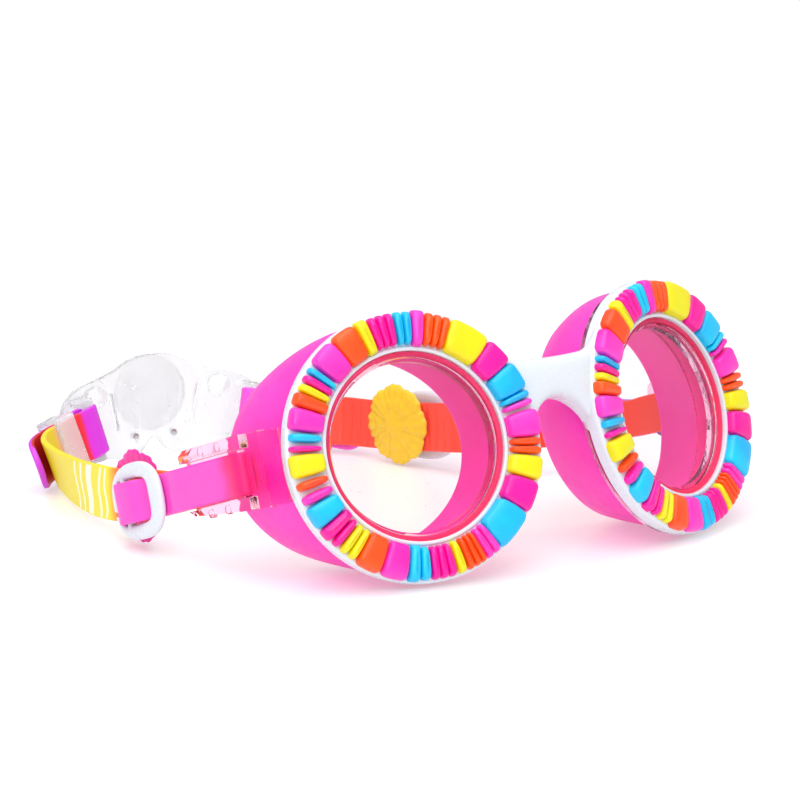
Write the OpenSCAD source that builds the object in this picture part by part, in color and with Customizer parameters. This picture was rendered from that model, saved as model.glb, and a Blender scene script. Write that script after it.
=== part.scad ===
// Child's swim goggles: two eye cups on a moulded front frame, a two-piece
// silicone strap, two flower strap slides and a clear adjuster at the back.
// Millimetres. +Z up, the wearer looks towards -Y, origin on the table under
// the middle of the whole object.

/* [Front] */
// Distance between the centres of the two lenses
eye_gap = 66.4; // [62:0.2:72]
// Height of the lens centres above the table
eye_height = 26.7; // [26.5:0.1:28]
// How far each eye turns outwards, in degrees
wrap = 15; // [8:1:18]
// How far the front leans back, in degrees
pitch = 18; // [12:1:20]
// Outer radius of the white rims
rim_r = 26.5; // [26:0.1:28]
// Radius of the opening in each rim
opening_r = 18.45; // [18:0.05:19]
// Thickness of the white rims
rim_t = 3; // [2:0.1:4]

/* [Beads] */
// Height of the candy-coloured beads above the rim
bead_h = 2.2; // [1:0.1:3]
// Turn of the right ring of beads against the left one, in degrees
bead_turn = 8; // [0:1:20]

/* [Eye cups] */
// Depth of the soft face gasket
gasket_depth = 19.7; // [15:0.1:24]
// How far the gasket's temple side leans outwards
gasket_shift = 7.7; // [6:0.1:8]
// How much shallower the gasket is at the nose
nose_cut = 4.5; // [2:0.1:5]
// Thickness of the flat lenses
lens_t = 1.7; // [1:0.1:2.5]

/* [Strap] */
// Thickness of the silicone strap
strap_t = 1.3; // [1:0.1:1.4]
// Width of the strap at the back
strap_w = 11; // [10:0.5:12]
// Width of the strap where it loops through the ear
strap_end_w = 8.4; // [8:0.1:8.8]
// Distance from each ear's slot to the axis the strap lifts about
pivot_run = 26.5; // [26.5:0.1:26.8]

/* [Adjuster] */
// Radius of the adjuster's curve
adjuster_r = 75; // [60:1:90]
// Wall of the adjuster's shell
adjuster_t = 1.6; // [1.2:0.1:2]
// Distance of each strap bar from the adjuster's middle
bar_s = 20.3; // [19.5:0.1:20.8]

/* [Hidden] */
$fn = 96;
front_x = 0.82;
front_y = -60.86;
ear_x = 60;
ear_y = 14;
ear_z = 23;
slot_y = [2.2, 4.6];
ear_in = 0.6;
rail_h = 2;
layer_out = 2;
layer_in = 1.4;
charm_u = 0.15;
left_charm_run = 40;
right_charm_at = [30.2, 81, 9.5];
left_flower_at = [6.6, 1.3];
right_flower_at = [5.2, 0.6];
right_charm_turn = 8;
right_charm_drop = 6.6;
adjuster_at = [-8.6, 131, 0];
adjuster_turn = -6;
bar_z = 9.4;
bar_ahead = 6;
bar_r = 1.05;
turn_r = bar_r + 0.35 + strap_t / 2;
button_s = 16.2;
button_z = 15.2;
button_r = 2.1;
pin_s = 5;
pin_z = 4.9;
pin_r = 0.7;
badge_z = 14.2;
keeper_l = 6.5;
keeper_run = 11.4;
layer_half = 0.95;

PINK = [1, 0.25, 0.78];
CLEAR_PINK = [1, 0.3, 0.6, 0.6];
CLEAR = [0.92, 0.95, 0.96, 0.5];
BEAD_COLOURS = [[1, 0.3, 0.8], [0.95, 0, 0.7], [1, 0.35, 0], [0.95, 0.9, 0], [0, 0.75, 0.93]];
// One ring of beads, anticlockwise from the wearer's side that faces +X:
// start angle, width in degrees, colour (0 pink, 1 magenta, 2 orange, 3 yellow, 4 blue)
BEADS = [
    [0, 12, 0], [14, 3, 0], [17.5, 3.5, 4], [21.5, 13, 4], [35, 12.5, 1], [48, 19, 3],
    [67.2, 4, 2], [71.2, 4, 2], [75.2, 4.5, 2], [80, 6, 0], [86.3, 4, 4], [90.5, 4, 4],
    [95, 4, 1], [99, 4, 1], [103, 4, 1], [107.5, 5.8, 3], [113.5, 12, 2], [126, 12.5, 0],
    [140, 3.2, 4], [143.7, 3.8, 1], [148, 4, 3], [152.3, 6, 2], [159, 10, 0], [170.2, 4, 4],
    [175.8, 3, 1], [180, 10, 3], [192, 4, 2], [198, 4.5, 0], [203.5, 10, 4], [214, 6, 1],
    [220.5, 4, 1], [225, 4.2, 3], [229.4, 4.2, 3], [234, 11.5, 2], [246, 12, 0],
    [258.4, 5.5, 4], [264.2, 5, 4], [269.5, 4, 1], [273.5, 4, 1], [277.5, 4, 1],
    [282, 4.5, 3], [287, 3.4, 2], [290.6, 3.2, 2], [294, 2.8, 2], [297, 4, 0], [301.2, 3.8, 0],
    [305.3, 19, 4], [325, 14, 1], [340, 10.5, 3], [351.5, 3.6, 2], [355.6, 3.6, 2]];

// ---- places ----------------------------------------------------------

module placed() translate([front_x, front_y, 0]) children();

// Local +Z out of the lens, +X to the right seen from the front, +Y up
module at_eye(side)
    placed() translate([side * eye_gap / 2, 0, eye_height])
        rotate([0, 0, side * wrap]) rotate([90 - pitch, 0, 0]) children();

// Left-hand geometry, mirrored for the right
module on_side(side) mirror([side > 0 ? 1 : 0, 0, 0]) children();

// Local +Y runs back along the ear, +X inwards, origin over the strap slot
module at_ear(side)
    placed() on_side(side) translate([-ear_x, ear_y, ear_z]) rotate([-pitch, 0, 0]) children();

// Local +X outwards, +Y back along the strap, origin in the strap's mid-plane
module at_charm(side)
    if (side < 0)
        at_ear(-1) translate([charm_u, left_charm_run, 0]) mirror([1, 0, 0]) children();
    else
        placed() translate(right_charm_at) rotate([0, 0, right_charm_turn])
            rotate([-right_charm_drop, 0, 0]) children();

module at_adjuster()
    placed() translate(adjuster_at) rotate([0, 0, adjuster_turn]) children();

// Local +Y out of the shell's back, at an arc distance s from its middle
module on_adjuster(s)
    at_adjuster() translate([0, -adjuster_r, 0]) rotate([0, 0, -s / adjuster_r * 180 / PI])
        translate([0, adjuster_r, 0]) children();

// ---- helpers ---------------------------------------------------------

function unit(v) = v / norm(v);
function turn(v, a) = [v[0] * cos(a) - v[1] * sin(a), v[0] * sin(a) + v[1] * cos(a)];

// Smooth curve through points, with n steps between each two
function curve(p, n) = let (e = concat([2 * p[0] - p[1]], p, [2 * p[len(p) - 1] - p[len(p) - 2]]))
    concat([for (i = [1:len(p) - 1]) for (k = [0:n - 1]) let (t = k / n)
        0.5 * (2 * e[i] + (e[i + 1] - e[i - 1]) * t
            + (2 * e[i - 1] - 5 * e[i] + 4 * e[i + 1] - e[i + 2]) * t * t
            + (3 * e[i] - e[i - 1] - 3 * e[i + 1] + e[i + 2]) * t * t * t)], [p[len(p) - 1]]);

// Flat band along a route of [x, y, z, lean x, lean y, width]
module ribbon(route, thick) {
    n = len(route);
    at = [for (r = route) [r[0], r[1], r[2]]];
    points = [for (i = [0:n - 1])
        let (along = unit(at[min(i + 1, n - 1)] - at[max(i - 1, 0)]),
            lean = [route[i][3], route[i][4], 1],
            up = unit(lean - along * (lean * along)),
            out = cross(up, along),
            h = route[i][5] / 2)
        for (c = [[-1, -1], [1, -1], [1, 1], [-1, 1]])
            at[i] + up * c[0] * h + out * c[1] * thick / 2];
    faces = concat([[3, 2, 1, 0]],
        [for (i = [0:n - 2]) for (k = [0:3]) let (a = 4 * i + k, b = 4 * i + (k + 1) % 4)
            each [[a, b, b + 4], [a, b + 4, a + 4]]],
        [[for (k = [0:3]) 4 * (n - 1) + k]]);
    polyhedron(points, faces);
}

// Outline of a band of even thickness along a flat route
function band(p, thick) = let (n = len(p), side = [for (i = [0:n - 1])
        let (d = unit(p[min(i + 1, n - 1)] - p[max(i - 1, 0)])) [-d[1], d[0]] * thick / 2])
    concat([for (i = [0:n - 1]) p[i] + side[i]], [for (i = [n - 1:-1:0]) p[i] - side[i]]);

// ---- front -----------------------------------------------------------

module rim_profile()
    polygon([[opening_r, -rim_t], [rim_r - 0.4, -rim_t], [rim_r, -rim_t + 0.5],
        [rim_r, -0.8], [rim_r - 0.25, -0.25], [rim_r - 0.8, 0], [opening_r + 0.3, 0],
        [opening_r, -0.3]]);

// Saddle between the rims: a thick band with a dipped top edge over a nose arch
module bridge() {
    arch_r = 7.2;
    difference() {
        placed() translate([0, 0, eye_height]) rotate([90 - pitch, 0, 0])
            translate([0, 0, -2]) linear_extrude(7.8) difference() {
                translate([-14, -3]) square([28, 19.5]);
                translate([0, 13.1 + 34]) circle(34);
                for (side = [-1, 1])
                    translate([side * 9.5, 13.4 + 4.6]) circle(4.6);
                translate([0, -2.2]) circle(arch_r);
                translate([-arch_r, -10]) square([2 * arch_r, 8]);
            }
        for (side = [-1, 1]) at_eye(side)
            translate([0, 0, -20]) cylinder(r = 26.2, h = 20 - rim_t);
        for (side = [-1, 1]) at_eye(side)
            cylinder(r = rim_r + 0.2, h = 20);
    }
}

module front_frame() color("white") {
    for (side = [-1, 1]) at_eye(side) rotate_extrude() rim_profile();
    bridge();
}

module beads(side, colour) color(BEAD_COLOURS[colour])
    at_eye(side) for (b = BEADS) if (b[2] == colour) {
        wide = b[1] > 5;
        low = wide ? 19.2 : 19.7;
        high = wide ? 26.2 : 25.8;
        rotate([0, 0, b[0] + (side > 0 ? bead_turn : 0)]) rotate_extrude(angle = b[1] - 0.3)
            polygon([for (a = [0:20:180])
                [(low + high) / 2 + (high - low) / 2 * sign(cos(a)) * pow(abs(cos(a)), 0.6),
                    bead_h * pow(abs(sin(a)), 0.6)]]);
    }

// ---- eye cups --------------------------------------------------------

module lens(side) color([1, 0.85, 0.92, 0.4])
    at_eye(side) translate([0, 0, -2.6]) cylinder(r = 17.3, h = lens_t);

module lens_ring(side) color(CLEAR_PINK)
    at_eye(side) rotate_extrude()
        polygon([[17.5, -2.6], [opening_r - 0.1, -2.6], [opening_r - 0.1, -0.6],
            [opening_r - 0.3, -0.3], [17.7, -0.3], [17.5, -0.6]]);

module ear_outline()
    polygon([[-3, -7.4], [4, -7.1], [20, -5.9], [22.3, -4.6], [23.3, -2.2], [23.3, 4],
        [22.6, 6.2], [20.6, 7.2], [-3, 7.4]]);

// Upright slab with the ear's outline, between two distances across the ear
module ear_slab(from, to)
    translate([to, 0, 0]) rotate([0, -90, 0]) rotate([0, 0, 90]) mirror([0, 1, 0])
        linear_extrude(to - from) ear_outline();

module lens_cup(side) color(CLEAR_PINK) {
    at_eye(side) rotate_extrude()
        polygon([[16.6, -2.6], [opening_r - 0.1, -2.6], [opening_r - 0.1, -rim_t],
            [26, -rim_t], [26, -4.2], [20.1, -4.2], [20.1, -8], [18.7, -8], [18.7, -4],
            [16.6, -4]]);
    difference() {
        at_ear(side) ear();
        at_ear(side) translate([-6, slot_y[0], -4.6]) cube([12, slot_y[1] - slot_y[0], 9.2]);
        at_eye(side) translate([0, 0, -rim_t]) cylinder(r = 28, h = 20);
    }
}

// Flat ear with a rail along its top and bottom edges, on an arm from the cup
module ear() {
    ear_slab(-1.2, ear_in);
    intersection() {
        ear_slab(-1.2 - rail_h, -1.1);
        for (top = [-1, 1])
            translate([-4, 0.5, top * 6.35 - 1.6]) cube([4, 22, 3.2]);
    }
    for (top = [-1, 1]) for (y = [8, 14])
        translate([-1.5 - rail_h, y, top * 6.1]) rotate([0, 90, 0]) cylinder(r = 0.9, h = 1);
    translate([0, 0, -7.2]) linear_extrude(14.4)
        polygon([[2.8, -5], [-1.2, -3.2], [-1.2, 0.5], [ear_in, 0.5], [ear_in, -0.8],
            [3.6, -3]]);
}

// Soft cup: round behind the lens, widening to an oval at the face. Each ring is
// its reach to the temple and to the nose, half its height, its rise and its
// share of the depth.
module gasket(side) color(PINK) {
    steps = 6;
    turns = 40;
    outer = [for (i = [0:steps]) let (k = i / steps)
        [24.8 + (2.2 + gasket_shift) * k - 4.5 * k * k, 24.8 - 1.2 * k - 3.4 * k * k,
            24.8 + 0.9 * k - 4.5 * k * k, k + 0.7 * sin(180 * k), k]];
    inner = [for (i = [steps:-1:0]) let (k = i / steps)
        [20.9 - 0.6 * k + gasket_shift * k * k, 20.9 - 3.9 * k, 20.9 - 1.8 * k, k, k]];
    rings = concat(outer, inner);
    count = len(rings);
    points = [for (r = rings) for (j = [0:turns - 1])
        let (a = j * 360 / turns, x = side * (r[0] - r[1]) / 2 + (r[0] + r[1]) / 2 * cos(a),
            deep = gasket_depth - nose_cut * (30 - side * x) / 50)
        [x, r[3] + r[2] * sin(a), -4.2 - deep * r[4]]];
    faces = [for (i = [0:count - 1]) for (j = [0:turns - 1])
        let (a = i * turns + j, b = i * turns + (j + 1) % turns,
            c = ((i + 1) % count) * turns + j, d = ((i + 1) % count) * turns + (j + 1) % turns)
        each [[a, c, b], [b, c, d]]];
    at_eye(side) polyhedron(points, [for (f = faces) [f[2], f[1], f[0]]]);
}

// ---- strap -----------------------------------------------------------

// The fold of strap through the ear's slot, up to the axis the strap lifts about
module strap_anchor(side) color(side < 0 ? PINK : [0.72, 0.4, 0.95])
    at_ear(side) {
        difference() {
            for (x = [-layer_out, layer_in])
                translate([x - strap_t / 2, slot_y[0] + 0.3, -strap_end_w / 2])
                    cube([strap_t, pivot_run - 1.6 - slot_y[0] - 0.3, strap_end_w]);
            translate([-5, pivot_run, 0]) rotate([0, 90, 0])
                cylinder(r = strap_end_w / 2 + 0.5, h = 10);
        }
        translate([-layer_out - strap_t / 2, slot_y[0] + 0.3, -strap_end_w / 2])
            cube([layer_out + layer_in + strap_t, strap_t, strap_end_w]);
    }

// Round end that turns inside the anchor's hollow end
module pivot_end(side, x)
    at_ear(side) translate([x - strap_t / 2 - 0.1, pivot_run, 0]) rotate([0, 90, 0])
        cylinder(r = strap_end_w / 2, h = strap_t + 0.2);

// How the strap's end weaves out through the ring and round its back bar
WEAVE = [[1.46, -5.5], [1.5, -3.6], [2.85, -1.8], [4.35, -0.2], [4.62, 1.6], [4.64, 4.4],
    [4.2, 5.75], [3, 6.3], [1.8, 5.8], [1.42, 4.6], [1.4, 3]];

// Along the right charm's own axes
rc_out = [cos(right_charm_turn), sin(right_charm_turn), 0];
rc_run = [-sin(right_charm_turn) * cos(right_charm_drop),
    cos(right_charm_turn) * cos(right_charm_drop), -sin(right_charm_drop)];
rc_up = cross(rc_out, rc_run);
function lean_of(up) = [up[0] / up[2], up[1] / up[2]];
RIGHT_END = concat(
    [[62, 39.68, 14.66, 0, 0.325, 7.8], [62, 43, 13.65, 0, 0.325, 8.3],
        [61.4, 46.4, 13, 0, 0.3, 8.5], [58.6, 51, 12.7, 0, 0.2, 9],
        [52, 56.6, 12.2, 0, 0.1, 9.2], [44, 60.8, 11.8, 0, 0.1, 9.2],
        [37.6, 64.8, 11.4, 0, 0.1, 9], [33.5, 70, 10.8, 0, 0.11, 8.6],
        [32.74, 73.1, 10.4, 0, 0.11, 8.5]],
    [for (w = WEAVE) let (p = right_charm_at + rc_out * w[0] + rc_run * w[1])
        [p[0], p[1], p[2], lean_of(rc_up)[0], lean_of(rc_up)[1], strap_end_w]]);

module strap_end(side) color(side < 0 ? PINK : [0.72, 0.4, 0.95])
    if (side < 0) {
        pivot_end(-1, -layer_out);
        at_ear(-1) translate([0, 0, -strap_end_w / 2]) linear_extrude(strap_end_w)
            polygon(band(curve(concat([[-layer_out, pivot_run + 0.5], [-1.8, 28.6],
                [-1.4, 30], [-1.3, 31.4]],
                [for (w = WEAVE) [charm_u - w[0], left_charm_run + w[1]]]), 3), strap_t));
    } else {
        pivot_end(1, -layer_out);
        placed() ribbon(curve(RIGHT_END, 2), strap_t);
    }

// Where each strap folds round its bar, and the frame it lies in there
function bar_at(side) = let (p = turn([side * bar_s,
        sqrt(pow(adjuster_r - adjuster_t, 2) - bar_s * bar_s) - adjuster_r - bar_ahead],
        adjuster_turn))
    [adjuster_at[0] + p[0], adjuster_at[1] + p[1], bar_z];
function yaw(side) = side < 0 ? 26 : 143;
rise = 8;
keeper_lean = 17;
bar_lean = 14;
function along(side) = [cos(yaw(side)) * cos(rise), sin(yaw(side)) * cos(rise), sin(rise)];
function outward(side) = [side * sin(yaw(side)), -side * cos(yaw(side)), 0];
function upward(side, lean) = cos(lean) * [-cos(yaw(side)) * sin(rise),
    -sin(yaw(side)) * sin(rise), cos(rise)] + sin(lean) * outward(side);
function across(side, lean) = side * cross(along(side), upward(side, lean));
function keeper_at(side) = bar_at(side) - along(side) * keeper_run;
function row(p, up, w) = [p[0], p[1], p[2], up[0] / up[2], up[1] / up[2], w];

// Last run of a strap: through the keeper, round the bar, back and out as a tail
function tail_run(side) = let (b = bar_at(side), k = keeper_at(side), h = along(side),
        uk = upward(side, keeper_lean), ub = upward(side, bar_lean),
        nk = across(side, keeper_lean), nb = across(side, bar_lean),
        um = upward(side, (keeper_lean + bar_lean) / 2),
        end = [for (t = [[4.6, 0, 11], [8.2, 0.45, 11], [11.6, 1.85, 10.6], [14, 3.55, 8.4],
                [15.6, 5.15, 4]])
            row(k - h * t[0] + nk * (layer_half - t[1]) - [0, 0, t[1] * 0.2], uk,
                t[2] / 11 * strap_w)])
    concat([row(k - h * 5 - nk * layer_half, uk, strap_w),
            row(k + h * 4.2 - nk * layer_half, uk, strap_w),
            row(b - h * 4.2 - nb * turn_r, um, strap_w)],
        [for (a = [0:30:180])
            row(b + turn_r * (sin(a) * h - cos(a) * nb), ub, strap_w)],
        [row(b - h * 4.2 + nb * turn_r, um, strap_w),
            row(k + h * 4.2 + nk * layer_half, uk, strap_w),
            row(k - h * 3.5 + nk * layer_half, uk, strap_w)], end);

LEFT_RUN = [[-58.6, 39.68, 14.66, 0, 0.325, 7.8], [-58.8, 43, 13.6, 0, 0.325, 8.3],
    [-59.6, 46.6, 12.7, 0, 0.325, 8.8], [-59.95, 49.4, 12.1, 0, 0.3, 9.8],
    [-59.95, 57.6, 10.1, 0, 0.2, 10.6], [-59.85, 65.4, 9.1, 0.02, 0.15, strap_w],
    [-58.6, 74, 8.2, 0.05, 0.1, strap_w],
    [-56.2, 83, 7.2, -0.05, 0.1, strap_w], [-53.9, 91, 6.6, -0.12, 0.1, strap_w],
    [-51.7, 99, 6.4, -0.22, 0.16, strap_w], [-49.9, 105.5, 6.6, -0.27, 0.2, strap_w],
    [-48.2, 109.8, 6.9, -0.27, 0.21, strap_w]];
RIGHT_RUN = [[58.6, 39.68, 14.66, 0, 0.325, 7.8], [58.6, 43, 13.7, 0, 0.325, 8.3],
    [58.4, 46.2, 13.1, 0, 0.3, 8.6], [56.6, 49.8, 12.7, 0, 0.2, 9.6],
    [51.2, 55, 12.2, 0, 0.1, 10.4], [43.2, 59.3, 11.8, 0, 0.1, strap_w],
    [36, 63.2, 11.4, 0, 0.1, strap_w], [31.8, 69.2, 10.9, 0, 0.11, strap_w],
    [31.05, 75.4, 10.15, 0, 0.11, strap_w],
    [29.58, 85.4, 8.99, 0, 0.11, strap_w], [28.4, 93, 8.3, 0, 0.11, strap_w],
    [27.3, 99.6, 7.9, 0.1, 0.1, strap_w], [26.3, 103.8, 7.7, 0.18, 0.16, strap_w]];

module strap(side) color(side < 0 ? [0.95, 0.88, 0.05] : [1, 0.4, 0.1]) {
    pivot_end(side, layer_in);
    placed() ribbon(curve(concat(side < 0 ? LEFT_RUN : RIGHT_RUN, tail_run(side)), 2), strap_t);
}

// ---- strap slides ----------------------------------------------------

// White ring: rounded outline, a window and a slot either side of the bar that
// the strap folds round, and a split through to the slot
module ring(side) color("white")
    at_charm(side) difference() {
        translate([2.15, 0, 0]) rotate([0, 90, 0]) linear_extrude(1.7)
            polygon([for (a = [0:10:350])
                [7.8 * sign(cos(a)) * pow(abs(cos(a)), 0.8), 9 * sign(sin(a)) * pow(abs(sin(a)), 0.8)]]);
        translate([0, -4.4, -4.6]) cube([6, 8, 9.2]);
        translate([0, 5, -4.6]) cube([6, 2.3, 9.2]);
        translate([0, 6, -1.1]) cube([6, 6, 0.8]);
    }

// Blossom: a wavy disc with a raised middle and one raised vein
module flower(side) color(side < 0 ? PINK : [0.95, 0.8, 0])
    let (at = side < 0 ? left_flower_at : right_flower_at)
    at_charm(side) translate([-0.9, at[0], at[1]]) rotate([0, -90, 0]) {
        linear_extrude(1.6) polygon([for (a = [0:5:355])
            (8.6 + 0.7 * cos(8 * a)) * [cos(a), sin(a)]]);
        translate([0, 0, 1.5]) cylinder(r = 3.2, h = 1.2);
        for (a = [0:45:315])
            rotate([0, 0, a]) translate([2.6, -0.4, 1.5]) cube([5, 0.8, 0.6]);
    }

// Clear sleeve that holds both layers of a strap together
module keeper(side) color(CLEAR) {
    room = 2 * layer_half + strap_t + 0.7;
    tall = strap_w + 0.8;
    placed() translate(keeper_at(side)) rotate([0, -rise, yaw(side)])
        rotate([side * keeper_lean, 0, 0]) difference() {
            cube([keeper_l, room + 2.2, tall + 1.6], center = true);
            cube([2 * keeper_l, room, tall], center = true);
        }
}

// ---- adjuster --------------------------------------------------------

// Right half of the butterfly outline, from the bottom notch round to the top
WING = [[0, 4.3], [1.4, 3.4], [3.6, 0.9], [7, 0], [13, 0.6], [19.5, 2], [23.6, 5], [25.4, 9.6],
    [24.8, 14], [21.4, 17.2], [15, 19], [10.5, 20.4], [7, 22.2], [3.6, 23.2], [0, 23.4]];

module wing_outline() {
    half = curve(WING, 3);
    polygon(concat(half, [for (i = [len(half) - 2:-1:1]) [-half[i][0], half[i][1]]]));
}

module shell_solid(inner, outer)
    translate([0, -adjuster_r, 0]) difference() {
        cylinder(r = outer, h = 30, $fn = 180);
        translate([0, 0, -1]) cylinder(r = inner, h = 32, $fn = 180);
    }

// Round hole straight through the shell
module through(s, z, r)
    translate([0, -adjuster_r, 0]) rotate([0, 0, -s / adjuster_r * 180 / PI])
        translate([0, adjuster_r + 5, z]) rotate([90, 0, 0]) cylinder(r = r, h = 20);

module adjuster_shell() color(CLEAR) {
    at_adjuster() difference() {
        intersection() {
            shell_solid(adjuster_r - adjuster_t, adjuster_r);
            translate([0, 5, 0]) rotate([90, 0, 0]) linear_extrude(30) wing_outline();
        }
        for (side = [-1, 1])
            translate([side * 10.5, 0, 11]) rotate([0, side * 12, 0])
                cube([1, 20, 9.4], center = true);
        for (side = [-1, 1]) {
            through(side * button_s, button_z, button_r + 0.3);
            through(side * pin_s, pin_z, pin_r);
        }
    }
    for (side = [-1, 1]) {
        lug(side, -7.1, -5.7);
        lug(side, 5.75, 7.15);
    }
}

// Arm that holds one end of a strap bar out from the shell, between two
// distances along the bar's axis
module lug(side, from, to)
    placed() translate(bar_at(side)) along_bar(side) translate([0, 0, from])
        linear_extrude(to - from) {
            circle(1.9);
            translate([-1.9, 0]) square([3.8, bar_ahead + 0.6]);
        }

// Local +Z along the bar, +Y towards the shell
module along_bar(side) rotate([0, 0, adjuster_turn]) rotate([-5, side * 12, 0]) children();

// Round badge with a raised rim, seated on the shell's curved back
module adjuster_badge() color(CLEAR) difference() {
    on_adjuster(0) translate([0, 1.6, badge_z]) rotate([90, 0, 0]) {
        translate([0, 0, 0.5]) cylinder(r = 6.3, h = 2);
        rotate_extrude() polygon([[6.2, 0], [8.3, 0], [8.5, 0.2], [8.5, 2.5], [6.2, 2.5]]);
    }
    at_adjuster() translate([0, -adjuster_r, -1]) cylinder(r = adjuster_r, h = 32, $fn = 180);
}

module strap_bars() color(CLEAR)
    for (side = [-1, 1]) placed() translate(bar_at(side)) along_bar(side)
        translate([0, 0, -5.7]) cylinder(r = bar_r, h = 11.45);

module adjuster_rivets() color("silver")
    for (side = [-1, 1]) on_adjuster(side * pin_s) translate([0, 0.5, pin_z])
        rotate([90, 0, 0]) cylinder(r = pin_r, h = adjuster_t + 1);

// Press button through the shell, with a flange inside that keeps it in
module release(side) color(CLEAR)
    on_adjuster(side * button_s) translate([0, 0, button_z]) rotate([90, 0, 0]) {
        translate([0, 0, -0.9]) cylinder(r = button_r, h = adjuster_t + 1.7);
        translate([0, 0, adjuster_t + 0.35]) cylinder(r = button_r + 0.6, h = 0.7);
    }

front_frame();
lens_cup(-1);  // left_lens_cup
lens_cup(1);  // right_lens_cup
lens(-1);  // left_lens
lens(1);  // right_lens
lens_ring(-1);  // left_lens_ring
lens_ring(1);  // right_lens_ring
gasket(-1);  // left_gasket
gasket(1);  // right_gasket
beads(-1, 0);  // left_beads_pink
beads(-1, 1);  // left_beads_magenta
beads(-1, 2);  // left_beads_orange
beads(-1, 3);  // left_beads_yellow
beads(-1, 4);  // left_beads_blue
beads(1, 0);  // right_beads_pink
beads(1, 1);  // right_beads_magenta
beads(1, 2);  // right_beads_orange
beads(1, 3);  // right_beads_yellow
beads(1, 4);  // right_beads_blue
strap_anchor(-1);  // left_strap_anchor
strap_anchor(1);  // right_strap_anchor
strap_end(-1);  // left_strap_end
strap_end(1);  // right_strap_end
strap(-1);  // left_strap
strap(1);  // right_strap
ring(-1);  // left_ring
ring(1);  // right_ring
flower(-1);  // left_flower
flower(1);  // right_flower
keeper(-1);  // left_keeper
keeper(1);  // right_keeper
adjuster_shell();
adjuster_badge();
strap_bars();
adjuster_rivets();
release(-1);  // left_release
release(1);  // right_release
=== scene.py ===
"""Child's swim goggles: the looks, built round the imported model. Lengths are in mm until a mesh is made."""

import math

import bmesh
import bpy
import numpy as np
from mathutils import Matrix, Vector


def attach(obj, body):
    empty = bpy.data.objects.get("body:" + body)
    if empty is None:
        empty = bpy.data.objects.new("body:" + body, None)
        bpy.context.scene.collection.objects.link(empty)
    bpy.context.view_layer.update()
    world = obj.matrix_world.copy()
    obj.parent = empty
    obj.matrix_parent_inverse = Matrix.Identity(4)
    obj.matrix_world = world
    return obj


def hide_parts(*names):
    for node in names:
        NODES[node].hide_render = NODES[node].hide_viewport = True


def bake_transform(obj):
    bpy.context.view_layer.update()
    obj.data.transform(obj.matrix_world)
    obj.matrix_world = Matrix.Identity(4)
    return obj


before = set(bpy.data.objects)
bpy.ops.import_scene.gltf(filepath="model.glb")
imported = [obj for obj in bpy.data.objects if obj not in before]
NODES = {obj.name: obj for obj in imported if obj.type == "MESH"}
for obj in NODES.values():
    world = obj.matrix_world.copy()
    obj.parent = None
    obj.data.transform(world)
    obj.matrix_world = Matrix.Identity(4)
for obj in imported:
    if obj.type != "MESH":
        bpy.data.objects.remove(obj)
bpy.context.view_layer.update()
SIDES = (("left", -1), ("right", 1))

MM = 0.001

# The model's own measures
FRONT = (0.82, -60.86, 0.0)
EYE_HALF_GAP, EYE_HEIGHT, WRAP, PITCH = 33.2, 26.7, 15.0, 18.0
EAR_AT, PIVOT_RUN = (60.0, 14.0, 23.0), 26.5
STRAP_T, STRAP_W, END_W = 1.3, 11.0, 8.4
CHARM_U, LEFT_CHARM_RUN = 0.15, 40.0
RIGHT_CHARM_AT, RIGHT_CHARM_TURN, RIGHT_CHARM_DROP = (30.2, 81.0, 9.5), 8.0, 6.6
LEFT_FLOWER_AT, RIGHT_FLOWER_AT = (6.6, 1.3), (5.2, 0.6)
ADJUSTER_AT, ADJUSTER_TURN, ADJUSTER_R, ADJUSTER_T = (-8.6, 131.0, 0.0), -6.0, 75.0, 1.6
BAR_S, BAR_Z, BAR_AHEAD, BAR_R = 20.3, 9.4, 6.0, 1.05
LAYER_HALF, KEEPER_RUN, RISE = 0.95, 11.4, 8.0
KEEPER_LEAN, BAR_LEAN = 17.0, 14.0


# ---- places -----------------------------------------------------------------


def shift(x, y, z):
    return Matrix.Translation((x, y, z))


def turn(axis, degrees):
    return Matrix.Rotation(math.radians(degrees), 4, axis)


MIRROR = Matrix.Diagonal((-1, 1, 1, 1))
PLACED = shift(*FRONT)


def at_eye(side):
    centre = shift(side * EYE_HALF_GAP, 0, EYE_HEIGHT)
    return PLACED @ centre @ turn("Z", side * WRAP) @ turn("X", 90 - PITCH)


def right_charm():
    return shift(*RIGHT_CHARM_AT) @ turn("Z", RIGHT_CHARM_TURN) @ turn("X", -RIGHT_CHARM_DROP)


def at_charm(side):
    """Where a slide ring sits on its strap."""
    if side > 0:
        return PLACED @ right_charm()
    ear_root = shift(-EAR_AT[0], EAR_AT[1], EAR_AT[2])
    return PLACED @ ear_root @ turn("X", -PITCH) @ shift(CHARM_U, LEFT_CHARM_RUN, 0) @ MIRROR


# ---- mesh helpers -----------------------------------------------------------


def shown(name, data):
    """A new object in the scene."""
    obj = bpy.data.objects.new(name, data)
    bpy.context.scene.collection.objects.link(obj)
    return obj


def make(name, verts, faces, place, material, sharp=None):
    """One closed mesh object, in metres, from points in millimetres."""
    mesh = bpy.data.meshes.new(name)
    mesh.from_pydata([(place @ Vector(v)) * MM for v in verts], [], faces)
    mesh.materials.append(material)
    finish_mesh(mesh, sharp)
    return shown(name, mesh)


def finish_mesh(mesh, sharp=None):
    """Faces turned outwards and shaded smooth, but for edges sharper than this many degrees."""
    bm = bmesh.new()
    bm.from_mesh(mesh)
    bmesh.ops.recalc_face_normals(bm, faces=bm.faces)
    bm.to_mesh(mesh)
    bm.free()
    mesh.polygons.foreach_set("use_smooth", [True] * len(mesh.polygons))
    if sharp:
        mesh.set_sharp_from_angle(angle=math.radians(sharp))
    mesh.update()


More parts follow.
